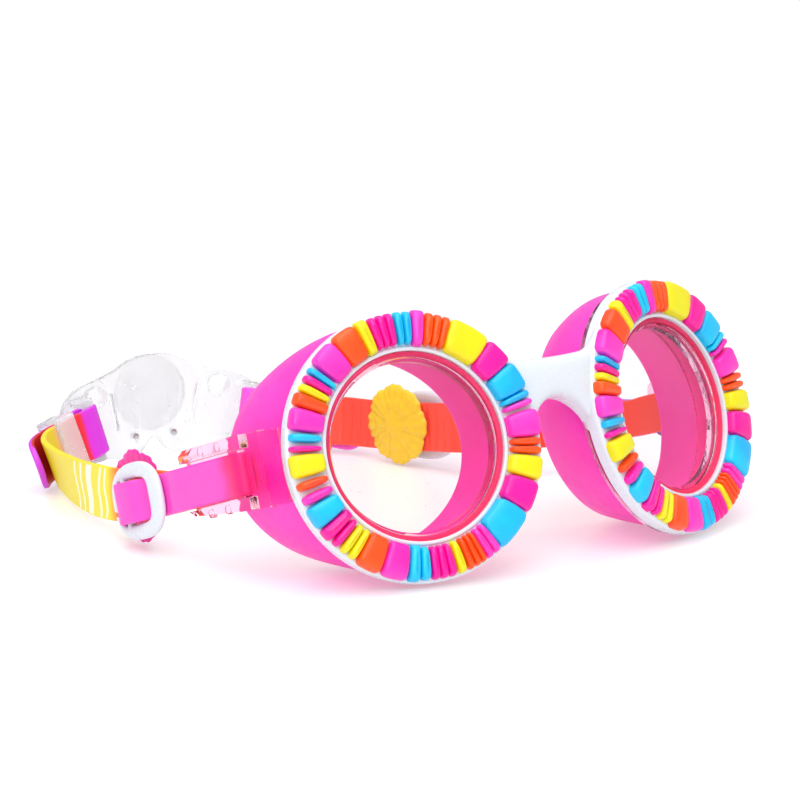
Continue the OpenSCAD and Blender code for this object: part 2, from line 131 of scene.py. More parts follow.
def loft(rings, closed=False):
    """Points and faces of a tube through rings of equal length, capped unless it closes on itself."""
    m, n = len(rings[0]), len(rings)
    verts = [p for ring in rings for p in ring]
    faces = []
    for i in range(n if closed else n - 1):
        a, b = i * m, ((i + 1) % n) * m
        faces += [(a + j, a + (j + 1) % m, b + (j + 1) % m, b + j) for j in range(m)]
    if not closed:
        faces += [tuple(range(m))[::-1], tuple(range((n - 1) * m, n * m))]
    return verts, faces


def joined(parts):
    """Several lots of points and faces as one."""
    verts, faces = [], []
    for v, f in parts:
        base = len(verts)
        verts += list(v)
        faces += [tuple(i + base for i in face) for face in f]
    return verts, faces


def rounded(corners, radii, steps=5):
    """A polygon with each corner swapped for a soft bend."""
    out = []
    pts = [np.array(c, float) for c in corners]
    for i, p in enumerate(pts):
        a, b = pts[i - 1] - p, pts[(i + 1) % len(pts)] - p
        r = radii[i] if isinstance(radii, (list, tuple)) else radii
        s, e = p + a / np.linalg.norm(a) * r, p + b / np.linalg.norm(b) * r
        for k in range(steps + 1):
            t = k / steps
            out.append((1 - t) ** 2 * s + 2 * t * (1 - t) * p + t * t * e)
    return [tuple(q) for q in out]


def revolve(profile, steps=144):
    """A profile of radius and height, turned right round."""
    rings = []
    for i in range(steps):
        a = 2 * math.pi * i / steps
        rings.append([(r * math.cos(a), r * math.sin(a), z) for r, z in profile])
    return loft(rings, closed=True)


def power(v, e):
    """v to the power e, keeping its sign: under 1 it squares off a circle."""
    return math.copysign(abs(v) ** e, v)


SAME_POINT = 2e-6


def soft_copy(name, node, radius, material):
    """A CAD node's shape with its edges rounded, standing for that node."""
    mesh = NODES[node].data.copy()
    mesh.name = name
    bm = bmesh.new()
    bm.from_mesh(mesh)
    bmesh.ops.remove_doubles(bm, verts=bm.verts, dist=SAME_POINT)
    bmesh.ops.dissolve_limit(bm, angle_limit=math.radians(0.8), verts=bm.verts, edges=bm.edges)
    edges = [e for e in bm.edges if len(e.link_faces) == 2 and e.calc_face_angle(0) > math.radians(32)]
    bmesh.ops.bevel(bm, geom=edges, offset=radius * MM, offset_type="OFFSET", segments=2,
                    profile=0.5, affect="EDGES", clamp_overlap=True)
    bmesh.ops.remove_doubles(bm, verts=bm.verts, dist=SAME_POINT)
    bmesh.ops.triangulate(bm, faces=[f for f in bm.faces if len(f.verts) > 4])
    bm.to_mesh(mesh)
    bm.free()
    mesh.materials.clear()
    mesh.materials.append(material)
    finish_mesh(mesh, sharp=25)
    return shown(name, mesh)


def settle(obj, body, node):
    """The piece rides a body, in place of one CAD node."""
    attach(obj, body)
    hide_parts(node)


# ---- materials --------------------------------------------------------------


def linear(rgb, gain=1.0):
    """An sRGB colour of 0 to 255 as scene-linear, brought down by gain."""
    def one(c):
        c /= 255
        return c / 12.92 if c <= 0.04045 else ((c + 0.055) / 1.055) ** 2.4
    return tuple(min(1, one(c) * gain) for c in rgb) + (1,)


class Nodes:
    """Short names for building a material's node tree."""

    def __init__(self, name):
        self.material = bpy.data.materials.new(name)
        self.material.use_nodes = True
        self.tree = self.material.node_tree
        self.shader = self.tree.nodes["Principled BSDF"]
        self.output = self.tree.nodes["Material Output"]

    def new(self, kind, **values):
        node = self.tree.nodes.new(kind)
        for key, value in values.items():
            setattr(node, key, value)
        return node

    def link(self, a, b):
        self.tree.links.new(a, b)

    def math(self, operation, a, b=None, clamp=False):
        node = self.new("ShaderNodeMath", operation=operation, use_clamp=clamp)
        for socket, value in zip(node.inputs, (a, b)):
            if value is None:
                continue
            if isinstance(value, (int, float)):
                socket.default_value = value
            else:
                self.link(value, socket)
        return node.outputs[0]

    def noise(self, scale, detail=3.0, roughness=0.5):
        node = self.new("ShaderNodeTexNoise")
        node.inputs["Scale"].default_value = scale
        node.inputs["Detail"].default_value = detail
        node.inputs["Roughness"].default_value = roughness
        coords = self.new("ShaderNodeTexCoord")
        self.link(coords.outputs["Object"], node.inputs["Vector"])
        return node.outputs["Fac"]

    def between(self, value, low, high, new_low, new_high):
        node = self.new("ShaderNodeMapRange")
        node.inputs["From Min"].default_value = low
        node.inputs["From Max"].default_value = high
        node.inputs["To Min"].default_value = new_low
        node.inputs["To Max"].default_value = new_high
        self.link(value, node.inputs["Value"])
        return node.outputs["Result"]

    def mix(self, factor, a, b):
        node = self.new("ShaderNodeMix", data_type="RGBA")
        self.link(factor, node.inputs["Factor"])
        for name, value in (("A", a), ("B", b)):
            socket = [s for s in node.inputs if s.name == name and s.type == "RGBA"][0]
            if isinstance(value, tuple):
                socket.default_value = value
            else:
                self.link(value, socket)
        return [s for s in node.outputs if s.type == "RGBA"][0]

    def attribute(self, name):
        node = self.new("ShaderNodeAttribute", attribute_name=name)
        return node.outputs["Fac"]

    def bump(self, height, distance, strength=1.0):
        node = self.new("ShaderNodeBump")
        node.inputs["Distance"].default_value = distance
        node.inputs["Strength"].default_value = strength
        self.link(height, node.inputs["Height"])
        self.link(node.outputs["Normal"], self.shader.inputs["Normal"])

    def set(self, **values):
        for key, value in values.items():
            self.shader.inputs[key.replace("_", " ")].default_value = value


def moulded(name, rgb, rough=0.4, spread=0.06, vary=0.05, grain=0.00004, gain=0.9, warm=None, **sockets):
    """Rubber, plastic or metal: cloudy colour, towards warm or darker by vary, uneven gloss, fine grain."""
    n = Nodes(name)
    base = linear(rgb, gain)
    other = linear(warm, gain) if warm else tuple(c * (1 - vary) for c in base[:3]) + (1,)
    cloud = n.between(n.noise(95, 2), 0.35, 0.65, 0, 1)
    n.link(n.mix(cloud, base, other), n.shader.inputs["Base Color"])
    gloss = n.between(n.noise(420, 4), 0.3, 0.7, rough - spread, rough + spread)
    n.link(gloss, n.shader.inputs["Roughness"])
    n.bump(n.noise(2600, 3), grain)
    n.set(**sockets)
    return n.material


def clear(name, tint, rough=0.05, ior=1.4, grain=0.00003, shadow=None, **sockets):
    """See-through plastic that lets the lamps' light through to what is behind it."""
    n = Nodes(name)
    base = tuple(tint) + (1,)
    faint = tuple(c * 0.97 for c in tint) + (1,)
    cloud = n.between(n.noise(160, 3), 0.35, 0.65, 0, 1)
    n.link(n.mix(cloud, base, faint), n.shader.inputs["Base Color"])
    n.link(n.between(n.noise(500, 3), 0.3, 0.7, rough * 0.6, rough * 1.4), n.shader.inputs["Roughness"])
    n.bump(n.noise(900, 2), grain)
    n.set(Transmission_Weight=1.0, IOR=ior)
    n.set(**sockets)
    through = n.new("ShaderNodeBsdfTransparent")
    through.inputs["Color"].default_value = tuple(shadow or tint) + (1,)
    ray = n.new("ShaderNodeLightPath")
    mixed = n.new("ShaderNodeMixShader")
    n.link(ray.outputs["Is Shadow Ray"], mixed.inputs[0])
    n.link(n.shader.outputs[0], mixed.inputs[1])
    n.link(through.outputs[0], mixed.inputs[2])
    n.link(mixed.outputs[0], n.output.inputs["Surface"])
    return n.material


SOFT = dict(Subsurface_Weight=0.4, Subsurface_Scale=0.004)
HOT_PINK = (255, 62, 196)
WHITE = moulded("white_plastic", (232, 239, 247), rough=0.28, vary=0.012, grain=0.00001, gain=0.88,
                Subsurface_Weight=0.12, Subsurface_Radius=(1.0, 1.0, 1.0), Subsurface_Scale=0.001)
GASKET = moulded("pink_silicone", HOT_PINK, rough=0.42, warm=(255, 52, 188), gain=0.95,
                 Subsurface_Radius=(1.0, 0.3, 0.7), **SOFT)
FLOWER_PINK = moulded("flower_pink", (250, 50, 170), rough=0.4, gain=0.92,
                      Subsurface_Radius=(1.0, 0.3, 0.6), **SOFT)
FLOWER_YELLOW = moulded("flower_yellow", (240, 204, 0), rough=0.42, gain=1.0,
                        Subsurface_Radius=(1.0, 0.8, 0.1), **SOFT)
BEAD_SOFT = dict(Subsurface_Weight=0.15, Subsurface_Scale=0.0012)
BEADS_OF = {
    "pink": moulded("bead_pink", (255, 30, 178), rough=0.36, warm=(255, 64, 200), gain=0.97,
                    Subsurface_Radius=(1.0, 0.2, 0.6), **BEAD_SOFT),
    "magenta": moulded("bead_magenta", (252, 0, 166), rough=0.36, warm=(250, 0, 150), gain=0.97,
                       Subsurface_Radius=(1.0, 0.1, 0.5), **BEAD_SOFT),
    "orange": moulded("bead_orange", (255, 72, 4), rough=0.36, warm=(255, 90, 8), gain=0.97,
                      Subsurface_Radius=(1.0, 0.3, 0.1), **BEAD_SOFT),
    "yellow": moulded("bead_yellow", (236, 230, 0), rough=0.36, warm=(240, 222, 0), gain=0.97,
                      Subsurface_Radius=(1.0, 0.9, 0.1), **BEAD_SOFT),
    "blue": moulded("bead_blue", (4, 206, 244), rough=0.36, warm=(6, 180, 240), gain=0.97,
                    Subsurface_Radius=(0.1, 0.7, 1.0), **BEAD_SOFT),
}
CUP = clear("clear_pink", (1.0, 0.62, 0.8), rough=0.06, ior=1.15, shadow=(1.0, 0.75, 0.87))
ROSE = clear("clear_rose", (1.0, 0.1, 0.26), rough=0.1, ior=1.15, shadow=(1.0, 0.4, 0.5),
             Transmission_Weight=0.6)
LENS = clear("lens_clear", (1.0, 0.88, 0.9), rough=0.01, ior=1.3, grain=0.0, shadow=(1.0, 0.95, 0.96))
CLEAR = clear("clear_plastic", (0.89, 0.9, 0.915), rough=0.2, ior=1.3, shadow=(0.95, 0.955, 0.96),
              Transmission_Weight=0.72)
FROSTED = clear("frosted_plastic", (0.94, 0.95, 0.955), rough=0.3, ior=1.25, shadow=(0.95, 0.955, 0.96),
                Transmission_Weight=0.7)
STEEL = moulded("steel", (196, 198, 202), rough=0.24, Metallic=1.0)


LINE_COLOUR = linear((252, 250, 226), 0.95)
LINE_WAVES, LINE_SWING, LINE_EDGE = 3.6, 0.6, 0.08


def wavy_line(n, run, across, at, width, phase):
    """1 on a thin line across the strap at this run, that waves along it, and 0 off it."""
    angle = n.math("ADD", n.math("MULTIPLY", across, LINE_WAVES), phase)
    wave = n.math("MULTIPLY", n.math("SINE", angle), LINE_SWING)
    off = n.math("ABSOLUTE", n.math("SUBTRACT", n.math("SUBTRACT", run, at), wave))
    return n.between(off, width / 2 - LINE_EDGE, width / 2 + LINE_EDGE, 1, 0)


def strap_material(name, stops, lines=(), red_tip_and_shade=None, gain=0.94):
    """Silicone that changes colour along its length. stops are (run, colour). lines are (run, width, phase),
    pale and on one face. red_tip_and_shade is (from, to, colour), that same face's colour between two runs:
    partly the strap's own red and partly painted shade."""
    n = Nodes(name)
    run, across, face = n.attribute("run"), n.attribute("across"), n.attribute("face")
    low, high = stops[0][0], stops[-1][0]
    ramp = n.new("ShaderNodeValToRGB")
    elements = ramp.color_ramp.elements
    while len(elements) < len(stops):
        elements.new(0.5)
    for element, (at, rgb) in zip(elements, stops):
        element.position = (at - low) / (high - low)
    for element, (at, rgb) in zip(elements, stops):
        element.color = linear(rgb, gain)
    wobble = n.between(n.noise(110, 2), 0.3, 0.7, -0.8, 0.8)
    n.link(n.between(n.math("ADD", run, wobble), low, high, 0, 1), ramp.inputs["Fac"])
    colour = ramp.outputs["Color"]
    if red_tip_and_shade:
        start, stop, rgb = red_tip_and_shade
        # One face between two runs goes crimson: partly the strap's own red, partly painted shade.
        red_tip_and_shade_mask = n.math("MULTIPLY", n.math("GREATER_THAN", run, start), n.math("LESS_THAN", run, stop))
        red_tip_and_shade_mask = n.math("MULTIPLY", red_tip_and_shade_mask, n.math("GREATER_THAN", face, 0.3))
        colour = n.mix(red_tip_and_shade_mask, colour, linear(rgb, gain))
    if lines:
        mask = wavy_line(n, run, across, *lines[0])
        for line in lines[1:]:
            mask = n.math("MAXIMUM", mask, wavy_line(n, run, across, *line))
        ends = n.between(n.math("ABSOLUTE", across), 0.9, 0.96, 1, 0)
        on_face = n.math("GREATER_THAN", face, 0.5)
        mask = n.math("MULTIPLY", n.math("MULTIPLY", mask, ends), on_face, clamp=True)
        colour = n.mix(mask, colour, LINE_COLOUR)
    n.link(colour, n.shader.inputs["Base Color"])
    n.link(n.between(n.noise(420, 4), 0.3, 0.7, 0.34, 0.46), n.shader.inputs["Roughness"])
    n.bump(n.noise(2600, 3), 0.00004)
    n.set(Subsurface_Radius=(1.0, 0.4, 0.5), Subsurface_Weight=0.15, Subsurface_Scale=0.0015)
    return n.material


# ---- front frame ------------------------------------------------------------


def rim():
    """The bead track: a flat plate with a low lip round the lens."""
    corners = [(18.45, -3), (18.45, 0.42), (19.1, 0.42), (19.35, 0.0), (26.5, 0.0), (26.5, -3)]
    return revolve(rounded(corners, [0.25, 0.2, 0.2, 0.12, 0.95, 0.5]))


# The nose saddle: the arch under it, with a straight leg at each end, and the edge along its top
ARCH_R, ARCH_LIFT, ARCH_SWEEP, ARCH_SHARE = 7.2, -2.2, 92, 0.8
LEG_TOP, LEG_SLOPE = (7.196, -2.45), 9
SADDLE_HALF, SADDLE_TOP, SADDLE_DIP = 13.2, 13.1, 0.004
FLARE_FROM, FLARE_RUN, FLARE_RISE = 8.5, 4.7, 3.6


def bridge():
    """Saddle between the rims: sections stand across the nose arch, thick in the middle, thin at the rims."""
    rings = []
    count, around = 61, 36
    for i in range(count):
        u = -1 + 2 * i / (count - 1)
        out, side = abs(u), math.copysign(1, u)
        if out < ARCH_SHARE:
            angle = math.radians(90 - out / ARCH_SHARE * ARCH_SWEEP)
            low = np.array([ARCH_R * math.cos(angle), ARCH_LIFT + ARCH_R * math.sin(angle)])
        else:
            leg = (out - ARCH_SHARE) * LEG_SLOPE
            low = np.array([LEG_TOP[0] + leg, LEG_TOP[1] - leg])
        x = SADDLE_HALF * out
        flare = FLARE_RISE * max(0, (x - FLARE_FROM) / FLARE_RUN) ** 2.2
        high = np.array([x, SADDLE_TOP + SADDLE_DIP * x * x + flare])
        front, back = 5.7 - 0.8 * out * out, -1.7 + 5.0 * out ** 1.6
        centre, half = (low + high) / 2, (high - low) / 2
        ring = []
        for k in range(around):
            t = 2 * math.pi * k / around
            flat = centre + half * power(math.cos(t), 0.55)
            depth = (front + back) / 2 + (front - back) / 2 * power(math.sin(t), 0.62)
            ring.append((side * flat[0], flat[1], depth))
        rings.append(ring)
    return loft(rings)


# A bead's edges draw in by these as it rises, and it starts a little under the track
BEAD_SIDE_ROUND, BEAD_END_ROUND, BEAD_SUNK = 1.7, 1.35, 0.6


def bead(start, width, wide):
    """One pillow: a rounded outline in angle and radius that draws in as it rises. A wide one is squarer."""
    low, high = (19.2, 26.3) if wide else (19.5, 26.0)
    top, squeeze = (2.15, 0.3) if wide else (1.95, 0.5)
    outline, levels = 36, 7
    mid_a, half_a = math.radians(start + width / 2), math.radians(width / 2)
    mid_r, half_r = (low + high) / 2, (high - low) / 2
    rings = []
    for level in range(-1, levels):
        climb = math.radians(max(0, level) / (levels - 1) * 90)
        rise = math.sin(climb) ** 0.85
        drawn = 1 - math.cos(climb) ** 0.5 if level < levels - 1 else 1
        inset_r = half_r - drawn * min(half_r, BEAD_SIDE_ROUND)
        inset_a = half_a - drawn * min(half_a, BEAD_END_ROUND / mid_r)
        if level == levels - 1:
            inset_r, inset_a = inset_r * 0.9, inset_a * 0.9
        ring = []
        for k in range(outline):
            t = 2 * math.pi * k / outline
            r = mid_r + inset_r * power(math.cos(t), squeeze)
            middle = 1 - ((r - mid_r) / half_r) ** 2
            a = mid_a + inset_a * power(math.sin(t), squeeze) * (1 + 0.1 * middle)
            height = -BEAD_SUNK if level < 0 else top * rise * (0.93 + 0.08 * middle)
            ring.append((r * math.cos(a), r * math.sin(a), height))
        rings.append(ring)
    verts, faces = loft(rings)
    crown, last = len(verts), (len(rings) - 1) * outline
    verts.append((mid_r * math.cos(mid_a), mid_r * math.sin(mid_a), top * 1.03))
    faces.pop()
    faces += [(last + j, last + (j + 1) % outline, crown) for j in range(outline)]
    return verts, faces


# One ring of beads: start angle and width in degrees, and which colour
COLOURS = ("pink", "magenta", "orange", "yellow", "blue")
BEADS = [
    (0, 12, 0), (14, 3, 0), (17.5, 3.5, 4), (21.5, 13, 4), (35, 12.5, 1), (48, 19, 3),
    (67.2, 4, 2), (71.2, 4, 2), (75.2, 4.5, 2), (80, 6, 0), (86.3, 4, 4), (90.5, 4, 4),
    (95, 4, 1), (99, 4, 1), (103, 4, 1), (107.5, 5.8, 3), (113.5, 12, 2), (126, 12.5, 0),
    (140, 3.2, 4), (143.7, 3.8, 1), (148, 4, 3), (152.3, 6, 2), (159, 10, 0), (170.2, 4, 4),
    (175.8, 3, 1), (180, 10, 3), (192, 4, 2), (198, 4.5, 0), (203.5, 10, 4), (214, 6, 1),
    (220.5, 4, 1), (225, 4.2, 3), (229.4, 4.2, 3), (234, 11.5, 2), (246, 12, 0),
    (258.4, 5.5, 4), (264.2, 5, 4), (269.5, 4, 1), (273.5, 4, 1), (277.5, 4, 1),
    (282, 4.5, 3), (287, 3.4, 2), (290.6, 3.2, 2), (294, 2.8, 2), (297, 4, 0), (301.2, 3.8, 0),
    (305.3, 19, 4), (325, 14, 1), (340, 10.5, 3), (351.5, 3.6, 2), (355.6, 3.6, 2)]
BEAD_TURN, BEAD_GAP, WIDE_BEAD = 8.0, 0.1, 5

parts = []
for _, side in SIDES:
    verts, faces = rim()
    parts.append(([tuple(at_eye(side) @ Vector(v)) for v in verts], faces))
verts, faces = bridge()
nose = PLACED @ shift(0, 0, EYE_HEIGHT) @ turn("X", 90 - PITCH)
parts.append(([tuple(nose @ Vector(v)) for v in verts], faces))
shell = make("frame_shell", *joined(parts), Matrix(), WHITE, sharp=50)
settle(shell, "front", "front_frame")

for name, side in SIDES:
    turned = BEAD_TURN if side > 0 else 0
    for number, colour in enumerate(COLOURS):
        beads = [bead(start + turned, width - BEAD_GAP, width > WIDE_BEAD)
                 for start, width, kind in BEADS if kind == number]
        piece = make(f"{name}_candy_{colour}", *joined(beads), at_eye(side), BEADS_OF[colour])
        settle(piece, "front", f"{name}_beads_{colour}")


# ---- eye cups ---------------------------------------------------------------


# The gasket from its flange (k = 0) to the face (k = 1), in its eye's own axes. Each row is its reach to the
# temple, to the nose and up or down, its rise and k. It is deeper at the temple than at the nose
FLANGE_R, HOLE_R = 24.8, 20.9
FLANGE_Z, GASKET_DEPTH, NOSE_CUT = -4.2, 19.7, 4.5
LIP_FROM = 0.93


def gasket_outer(k):
    temple, nose = FLANGE_R + 9.9 * k - 4.5 * k * k, FLANGE_R - 1.2 * k - 3.4 * k * k
    return temple, nose, FLANGE_R + 0.9 * k - 4.5 * k * k, k + 0.7 * math.sin(math.pi * k), k


def gasket_inner(k):
    return HOLE_R - 0.6 * k + 7.7 * k * k, HOLE_R - 3.9 * k, HOLE_R - 1.8 * k, k, k


def gasket(side):
    """Soft cup from the flange behind the rim to a rolled oval lip at the face."""
    rows = [gasket_outer(k) for k in np.linspace(0, LIP_FROM, 26)]
    for roll in np.radians(np.linspace(20, 160, 9)):
        k, share = LIP_FROM + (1 - LIP_FROM) * math.sin(roll), (1 - math.cos(roll)) / 2
        rows.append(tuple(np.array(gasket_outer(k)) * (1 - share) + np.array(gasket_inner(k)) * share))
    rows += [gasket_inner(k) for k in np.linspace(LIP_FROM, 0, 26)]
    rings = []
    for temple, nose, half, rise, k in rows:
        ring = []
        for a in np.linspace(0, 2 * math.pi, 112, endpoint=False):
            x = side * (temple - nose) / 2 + (temple + nose) / 2 * math.cos(a)
            depth = GASKET_DEPTH - NOSE_CUT * (30 - side * x) / 50
            ring.append((x, rise + half * math.sin(a), FLANGE_Z - depth * k))
        rings.append(ring)
    return loft(rings, closed=True)


# The lens is flat, so its faces run level to just short of the rounded edge; the trim is the ring round it
PANE = [(0.001, -2.6), (16.9, -2.6), (17.1, -2.6), (17.25, -2.54), (17.3, -2.4), (17.3, -1.1),
        (17.25, -0.96), (17.1, -0.9), (16.9, -0.9), (0.001, -0.9)]
TRIM = rounded([(17.45, -2.6), (18.38, -2.6), (18.38, -0.35), (17.45, -0.35)], 0.28)

for name, side in SIDES:
    soft = make(f"{name}_face_gasket", *gasket(side), at_eye(side), GASKET, sharp=55)
    settle(soft, "front", f"{name}_gasket")
    pane = make(f"{name}_lens_pane", *revolve(PANE), at_eye(side), LENS, sharp=40)
    settle(pane, "front", f"{name}_lens")
    trim = make(f"{name}_lens_trim", *revolve(TRIM), at_eye(side), ROSE)
    settle(trim, "front", f"{name}_lens_ring")
    cup = soft_copy(f"{name}_cup_shell", f"{name}_lens_cup", 0.22, CUP)
    settle(cup, "front", f"{name}_lens_cup")


# ---- straps -----------------------------------------------------------------


def unit(v):
    return v / np.linalg.norm(v)


def spun(v, degrees):
    a = math.radians(degrees)
    return np.array([v[0] * math.cos(a) - v[1] * math.sin(a), v[0] * math.sin(a) + v[1] * math.cos(a)])


def row(p, up, width):
    """A row of a strap's route: its middle, where its width points (x and y for a z of 1) and its width."""
    return np.array([p[0], p[1], p[2], up[0] / up[2], up[1] / up[2], width])


EAR_UP = np.array([0, math.sin(math.radians(PITCH)), math.cos(math.radians(PITCH))])
EAR_BACK = np.array([0, math.cos(math.radians(PITCH)), -math.sin(math.radians(PITCH))])


def ear(side, x, y, width):
    """A row x inwards of the ear's root and y back along the ear."""
    return row(np.array([side * (EAR_AT[0] - x), EAR_AT[1], EAR_AT[2]]) + EAR_BACK * y, EAR_UP, width)


# Routes, chosen point by point. WEAVE is the fold round the ring's bar, in the ring's own axes. The others
# are x, y, z, lean in x, lean in y and width
WEAVE = [(1.46, -5.5), (1.5, -3.6), (2.85, -1.8), (4.35, -0.2), (4.62, 1.6), (4.64, 4.4),
         (4.2, 5.75), (3, 6.3), (1.8, 5.8), (1.42, 4.6), (1.4, 3)]
LEFT_RUN = [(-58.6, 39.68, 14.66, 0, 0.325, 7.8), (-58.8, 43, 13.6, 0, 0.325, 8.3),
            (-59.6, 46.6, 12.7, 0, 0.325, 8.8), (-59.95, 49.4, 12.1, 0, 0.3, 9.8),
            (-59.95, 57.6, 10.1, 0, 0.2, 10.6), (-59.85, 65.4, 9.1, 0.02, 0.15, 11),
            (-58.6, 74, 8.2, 0.05, 0.1, 11), (-56.2, 83, 7.2, -0.05, 0.1, 11),
            (-53.9, 91, 6.6, -0.12, 0.1, 11), (-51.7, 99, 6.4, -0.22, 0.16, 11),
            (-49.9, 105.5, 6.6, -0.27, 0.2, 11), (-48.2, 109.8, 6.9, -0.27, 0.21, 11)]
RIGHT_RUN = [(58.6, 39.68, 14.66, 0, 0.325, 7.8), (58.6, 43, 13.7, 0, 0.325, 8.3),
             (58.4, 46.2, 13.1, 0, 0.3, 8.6), (56.6, 49.8, 12.7, 0, 0.2, 9.6),
             (51.2, 55, 12.2, 0, 0.1, 10.4), (43.2, 59.3, 11.8, 0, 0.1, 11),
             (36, 63.2, 11.4, 0, 0.1, 11), (31.8, 69.2, 10.9, 0, 0.11, 11),
             (31.05, 75.4, 10.15, 0, 0.11, 11), (29.58, 85.4, 8.99, 0, 0.11, 11),
             (28.4, 93, 8.3, 0, 0.11, 11), (27.3, 99.6, 7.9, 0.1, 0.1, 11),
             (26.3, 103.8, 7.7, 0.18, 0.16, 11)]
RIGHT_LINK = [(62, 39.68, 14.66, 0, 0.325, 7.8), (62, 43, 13.65, 0, 0.325, 8.3),
              (61.4, 46.4, 13, 0, 0.3, 8.5), (58.6, 51, 12.7, 0, 0.2, 9),
              (52, 56.6, 12.2, 0, 0.1, 9.2), (44, 60.8, 11.8, 0, 0.1, 9.2),
              (37.6, 64.8, 11.4, 0, 0.1, 9), (33.5, 70, 10.8, 0, 0.11, 8.6),
              (32.74, 73.1, 10.4, 0, 0.11, 8.5)]
EAR_ROWS = (26.5, 22, 17, 12, 8.5, 6.6)
LEFT_LINK = ((-1.3, 31.4), (-1.4, 30), (-1.8, 28.6))
FOLD_X, FOLD_Y, FOLD_R = -0.3, 5.2, 1.7
# The tail past the keeper: how far back along the strap, and how far it bends in under it
TAIL_BENDS = ((4.6, 0), (8.2, 0.45), (11.6, 1.85), (14, 3.55), (15.6, 5.15))
TAIL_DROP, LEFT_YAW, RIGHT_YAW = 0.2, 26, 143
HALF_TURN = np.radians(range(0, 181, 30))


def bar_at(side):
    """The middle of a strap bar in the adjuster's arched shell."""
    arch = math.sqrt((ADJUSTER_R - ADJUSTER_T) ** 2 - BAR_S ** 2) - ADJUSTER_R - BAR_AHEAD
    p = spun((side * BAR_S, arch), ADJUSTER_TURN)
    return np.array([ADJUSTER_AT[0] + p[0], ADJUSTER_AT[1] + p[1], BAR_Z])


def tail_run(side):
    """Through the keeper, round the bar, back through the keeper and out as a tail."""
    yaw, rise = math.radians(LEFT_YAW if side < 0 else RIGHT_YAW), math.radians(RISE)
    ahead = np.array([math.cos(yaw) * math.cos(rise), math.sin(yaw) * math.cos(rise), math.sin(rise)])
    outward = np.array([side * math.sin(yaw), -side * math.cos(yaw), 0])
    level = np.array([-math.cos(yaw) * math.sin(rise), -math.sin(yaw) * math.sin(rise), math.cos(rise)])

    def upward(lean):
        return math.cos(math.radians(lean)) * level + math.sin(math.radians(lean)) * outward

    bar = bar_at(side)
    keeper = bar - ahead * KEEPER_RUN
    keeper_up, bar_up = upward(KEEPER_LEAN), upward(BAR_LEAN)
    between_up = upward((KEEPER_LEAN + BAR_LEAN) / 2)
    keeper_out, bar_out = side * np.cross(ahead, keeper_up), side * np.cross(ahead, bar_up)
    wrap = BAR_R + 0.35 + STRAP_T / 2

    def in_keeper(run, layer):
        return row(keeper + ahead * run + keeper_out * layer * LAYER_HALF, keeper_up, STRAP_W)

    def by_bar(run, layer, up):
        return row(bar + ahead * run + bar_out * layer * wrap, up, STRAP_W)

    rows = [in_keeper(-5, -1), in_keeper(0, -1), in_keeper(4.2, -1)]
    rows += [by_bar(-4.2, -1, between_up), by_bar(-1.6, -1, bar_up)]
    for a in HALF_TURN:
        rows.append(row(bar + wrap * (math.sin(a) * ahead - math.cos(a) * bar_out), bar_up, STRAP_W))
    rows += [by_bar(-1.6, 1, bar_up), by_bar(-4.2, 1, between_up)]
    rows += [in_keeper(4.2, 1), in_keeper(0, 1), in_keeper(-3.5, 1)]
    for back, bend in TAIL_BENDS:
        bent = keeper - ahead * back + keeper_out * (LAYER_HALF - bend) - np.array([0, 0, TAIL_DROP * bend])
        rows.append(row(bent, keeper_up, STRAP_W))
    return rows


def weave_rows(side):
    """The fold round the ring's bar."""
    if side < 0:
        return [ear(-1, CHARM_U - u, LEFT_CHARM_RUN + v, END_W) for u, v in WEAVE]
    place = right_charm()
    up = np.array(place.to_3x3() @ Vector((0, 0, 1)))
    return [row(np.array(place @ Vector((u, v, 0))), up, END_W) for u, v in WEAVE]


def route(side):
    """The whole strap: ring fold, outer layer, ear slot, inner layer, main run, bar and tail. Returns its
    rows and the number of the row in the slot."""
    rows = weave_rows(side)[::-1]
    if side > 0:
        rows += [np.array(r) for r in RIGHT_LINK[::-1]]
    else:
        rows += [ear(-1, x, y, END_W) for x, y in LEFT_LINK]
    rows += [ear(side, FOLD_X - FOLD_R, y, END_W) for y in EAR_ROWS]
    fold = len(rows) + len(HALF_TURN) // 2
    for a in HALF_TURN:
        rows.append(ear(side, FOLD_X - FOLD_R * math.cos(a), FOLD_Y - FOLD_R * math.sin(a), END_W))
    rows += [ear(side, FOLD_X + FOLD_R, y, END_W) for y in EAR_ROWS[::-1]]
    rows += [np.array(r, float) for r in (LEFT_RUN if side < 0 else RIGHT_RUN)] + tail_run(side)
    return np.array(rows, float), fold


def part_way(a, b, low, high, x):
    """a where x is low, b where it is high, and straight between them."""
    return a * (high - x) / (high - low) + b * (x - low) / (high - low)


def centripetal(rows, step=0.25):
    """A curve through the rows with no overshoot where they crowd together, and where each row is on it."""
    pts = np.vstack([2 * rows[0] - rows[1], rows, 2 * rows[-1] - rows[-2]])
    out, marks = [], []
    for i in range(1, len(pts) - 2):
        p = pts[i - 1:i + 3]
        gaps = np.linalg.norm(np.diff(p[:, :3], axis=0), axis=1)
        t = np.concatenate([[0], np.cumsum(gaps ** 0.5 + 1e-6)])
        count = max(2, int(gaps[1] / step))
        marks.append(len(out))
        for x in np.linspace(t[1], t[2], count, endpoint=False):
            a = [part_way(p[j], p[j + 1], t[j], t[j + 1], x) for j in range(3)]
            b = [part_way(a[j], a[j + 1], t[j], t[j + 2], x) for j in range(2)]
            out.append(part_way(b[0], b[1], t[1], t[2], x))
    marks.append(len(out))
    out.append(pts[-2])
    return np.array(out), marks


def blurred(values, sigma):
    """Each column smoothed by a bell curve, its end values held."""
    reach = int(3 * sigma)
    weights = np.exp(-0.5 * (np.arange(-reach, reach + 1) / sigma) ** 2)
    weights = weights / weights.sum()
    padded = np.vstack([np.repeat(values[:1], reach, 0), values, np.repeat(values[-1:], reach, 0)])
    return np.array([np.convolve(column, weights, "valid") for column in padded.T]).T


BAND_CORNER, BAND_STEP, RIB_FADE, TIP = 0.42, 0.42, 1.5, 5.5


